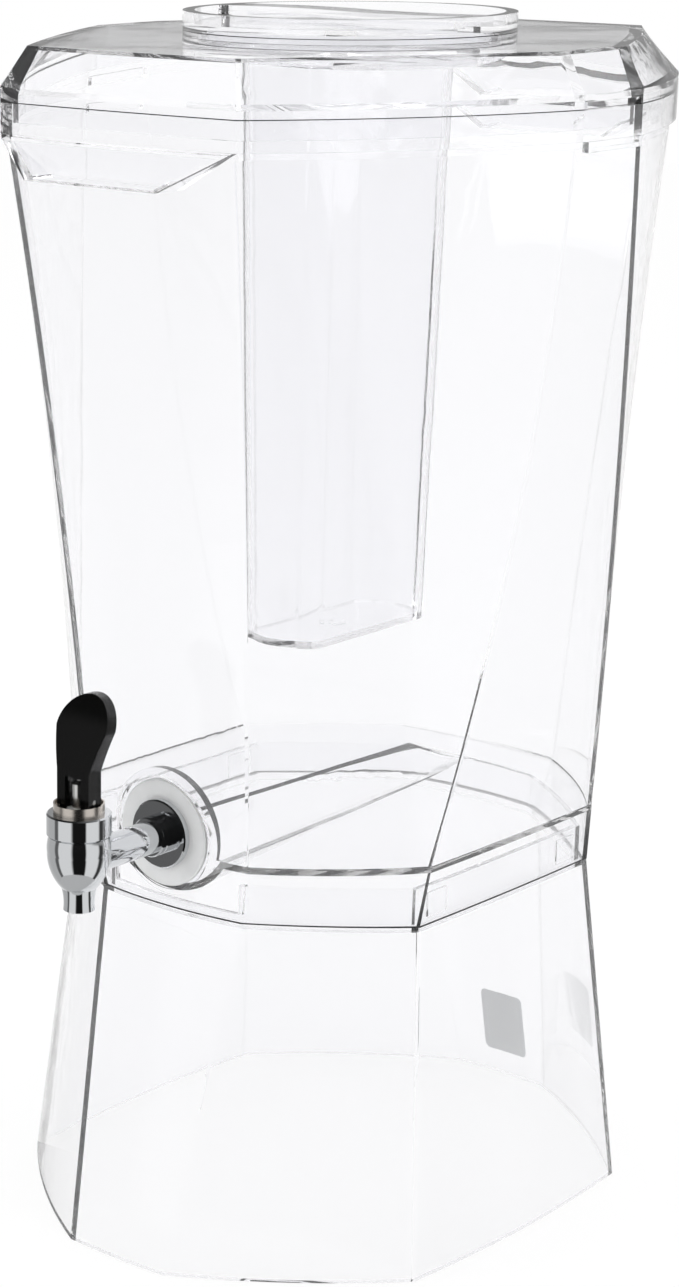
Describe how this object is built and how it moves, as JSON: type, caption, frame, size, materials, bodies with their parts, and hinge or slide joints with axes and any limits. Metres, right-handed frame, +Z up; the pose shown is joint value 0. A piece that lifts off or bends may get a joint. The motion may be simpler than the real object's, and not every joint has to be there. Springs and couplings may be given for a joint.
{
  "type": "beverage dispenser",
  "caption": "Clear octagonal cold-drink tank on a hollow pedestal, with a lid, a hanging ice core and a sprung lever tap at the front.",
  "frame": {"origin": "middle of the pedestal's foot, on the plane it stands on", "axes": "+Z up, -Y towards the tap, +X to the right of a person who faces the tap"},
  "size_m": [0.2684, 0.3441, 0.5222],
  "materials": {
    "clear_plastic": "clear, glossy",
    "chrome": "mirror",
    "nickel": "satin",
    "steel": "bright",
    "silicone": "frosted, translucent",
    "white_plastic": "natural nylon",
    "black_rubber": "satin",
    "black_plastic": "glossy"
  },
  "bodies": {
    "pedestal": {"pedestal_base": "clear_plastic"},
    "tank": {"tank": "clear_plastic", "outer_washer": "silicone", "inner_washer": "silicone", "lock_nut": "white_plastic", "tap_shank": "chrome", "tap_body": "chrome", "bonnet_collar": "chrome", "cam_ring": "nickel", "stem_bush": "white_plastic", "upper_spring_washer": "steel", "stem_o_ring": "black_rubber"},
    "lid": {"lid": "clear_plastic"},
    "core": {"ice_core": "clear_plastic"},
    "cap": {"core_cap": "clear_plastic"},
    "stem": {"valve_stem": "steel", "valve_seal": "silicone", "lower_spring_washer": "steel", "lever_pin": "steel", "stem_spring": "steel"},
    "lever": {"tap_lever": "black_plastic"}
  },
  "joints": [
    {"name": "tank_lift", "type": "slide", "parent": "pedestal", "child": "tank", "axis": [0, 0, 1], "range_m": [0, 0.05]},
    {"name": "lid_lift", "type": "slide", "parent": "tank", "child": "lid", "axis": [0, 0, 1], "range_m": [0, 0.25]},
    {"name": "core_lift", "type": "slide", "parent": "lid", "child": "core", "axis": [0, 0, 1], "range_m": [0, 0.27]},
    {"name": "cap_lift", "type": "slide", "parent": "core", "child": "cap", "axis": [0, 0, 1], "range_m": [0, 0.05]},
    {"name": "stem_lift", "type": "slide", "parent": "tank", "child": "stem", "axis": [0, 0, 1], "range_m": [0, 0.000904], "stiffness_N_per_m": 1500, "springref_m": -0.0012, "deforming": ["stem_spring"]},
    {"name": "lever_pull", "type": "hinge", "parent": "stem", "child": "lever", "pos_m": [0, -0.168, 0.21512], "axis": [1, 0, 0], "range_deg": [0, 35]}
  ],
  "couplings": [
    {"joint": "lever_pull", "follows": "stem_lift", "rad_per_m": 675.7}
  ]
}
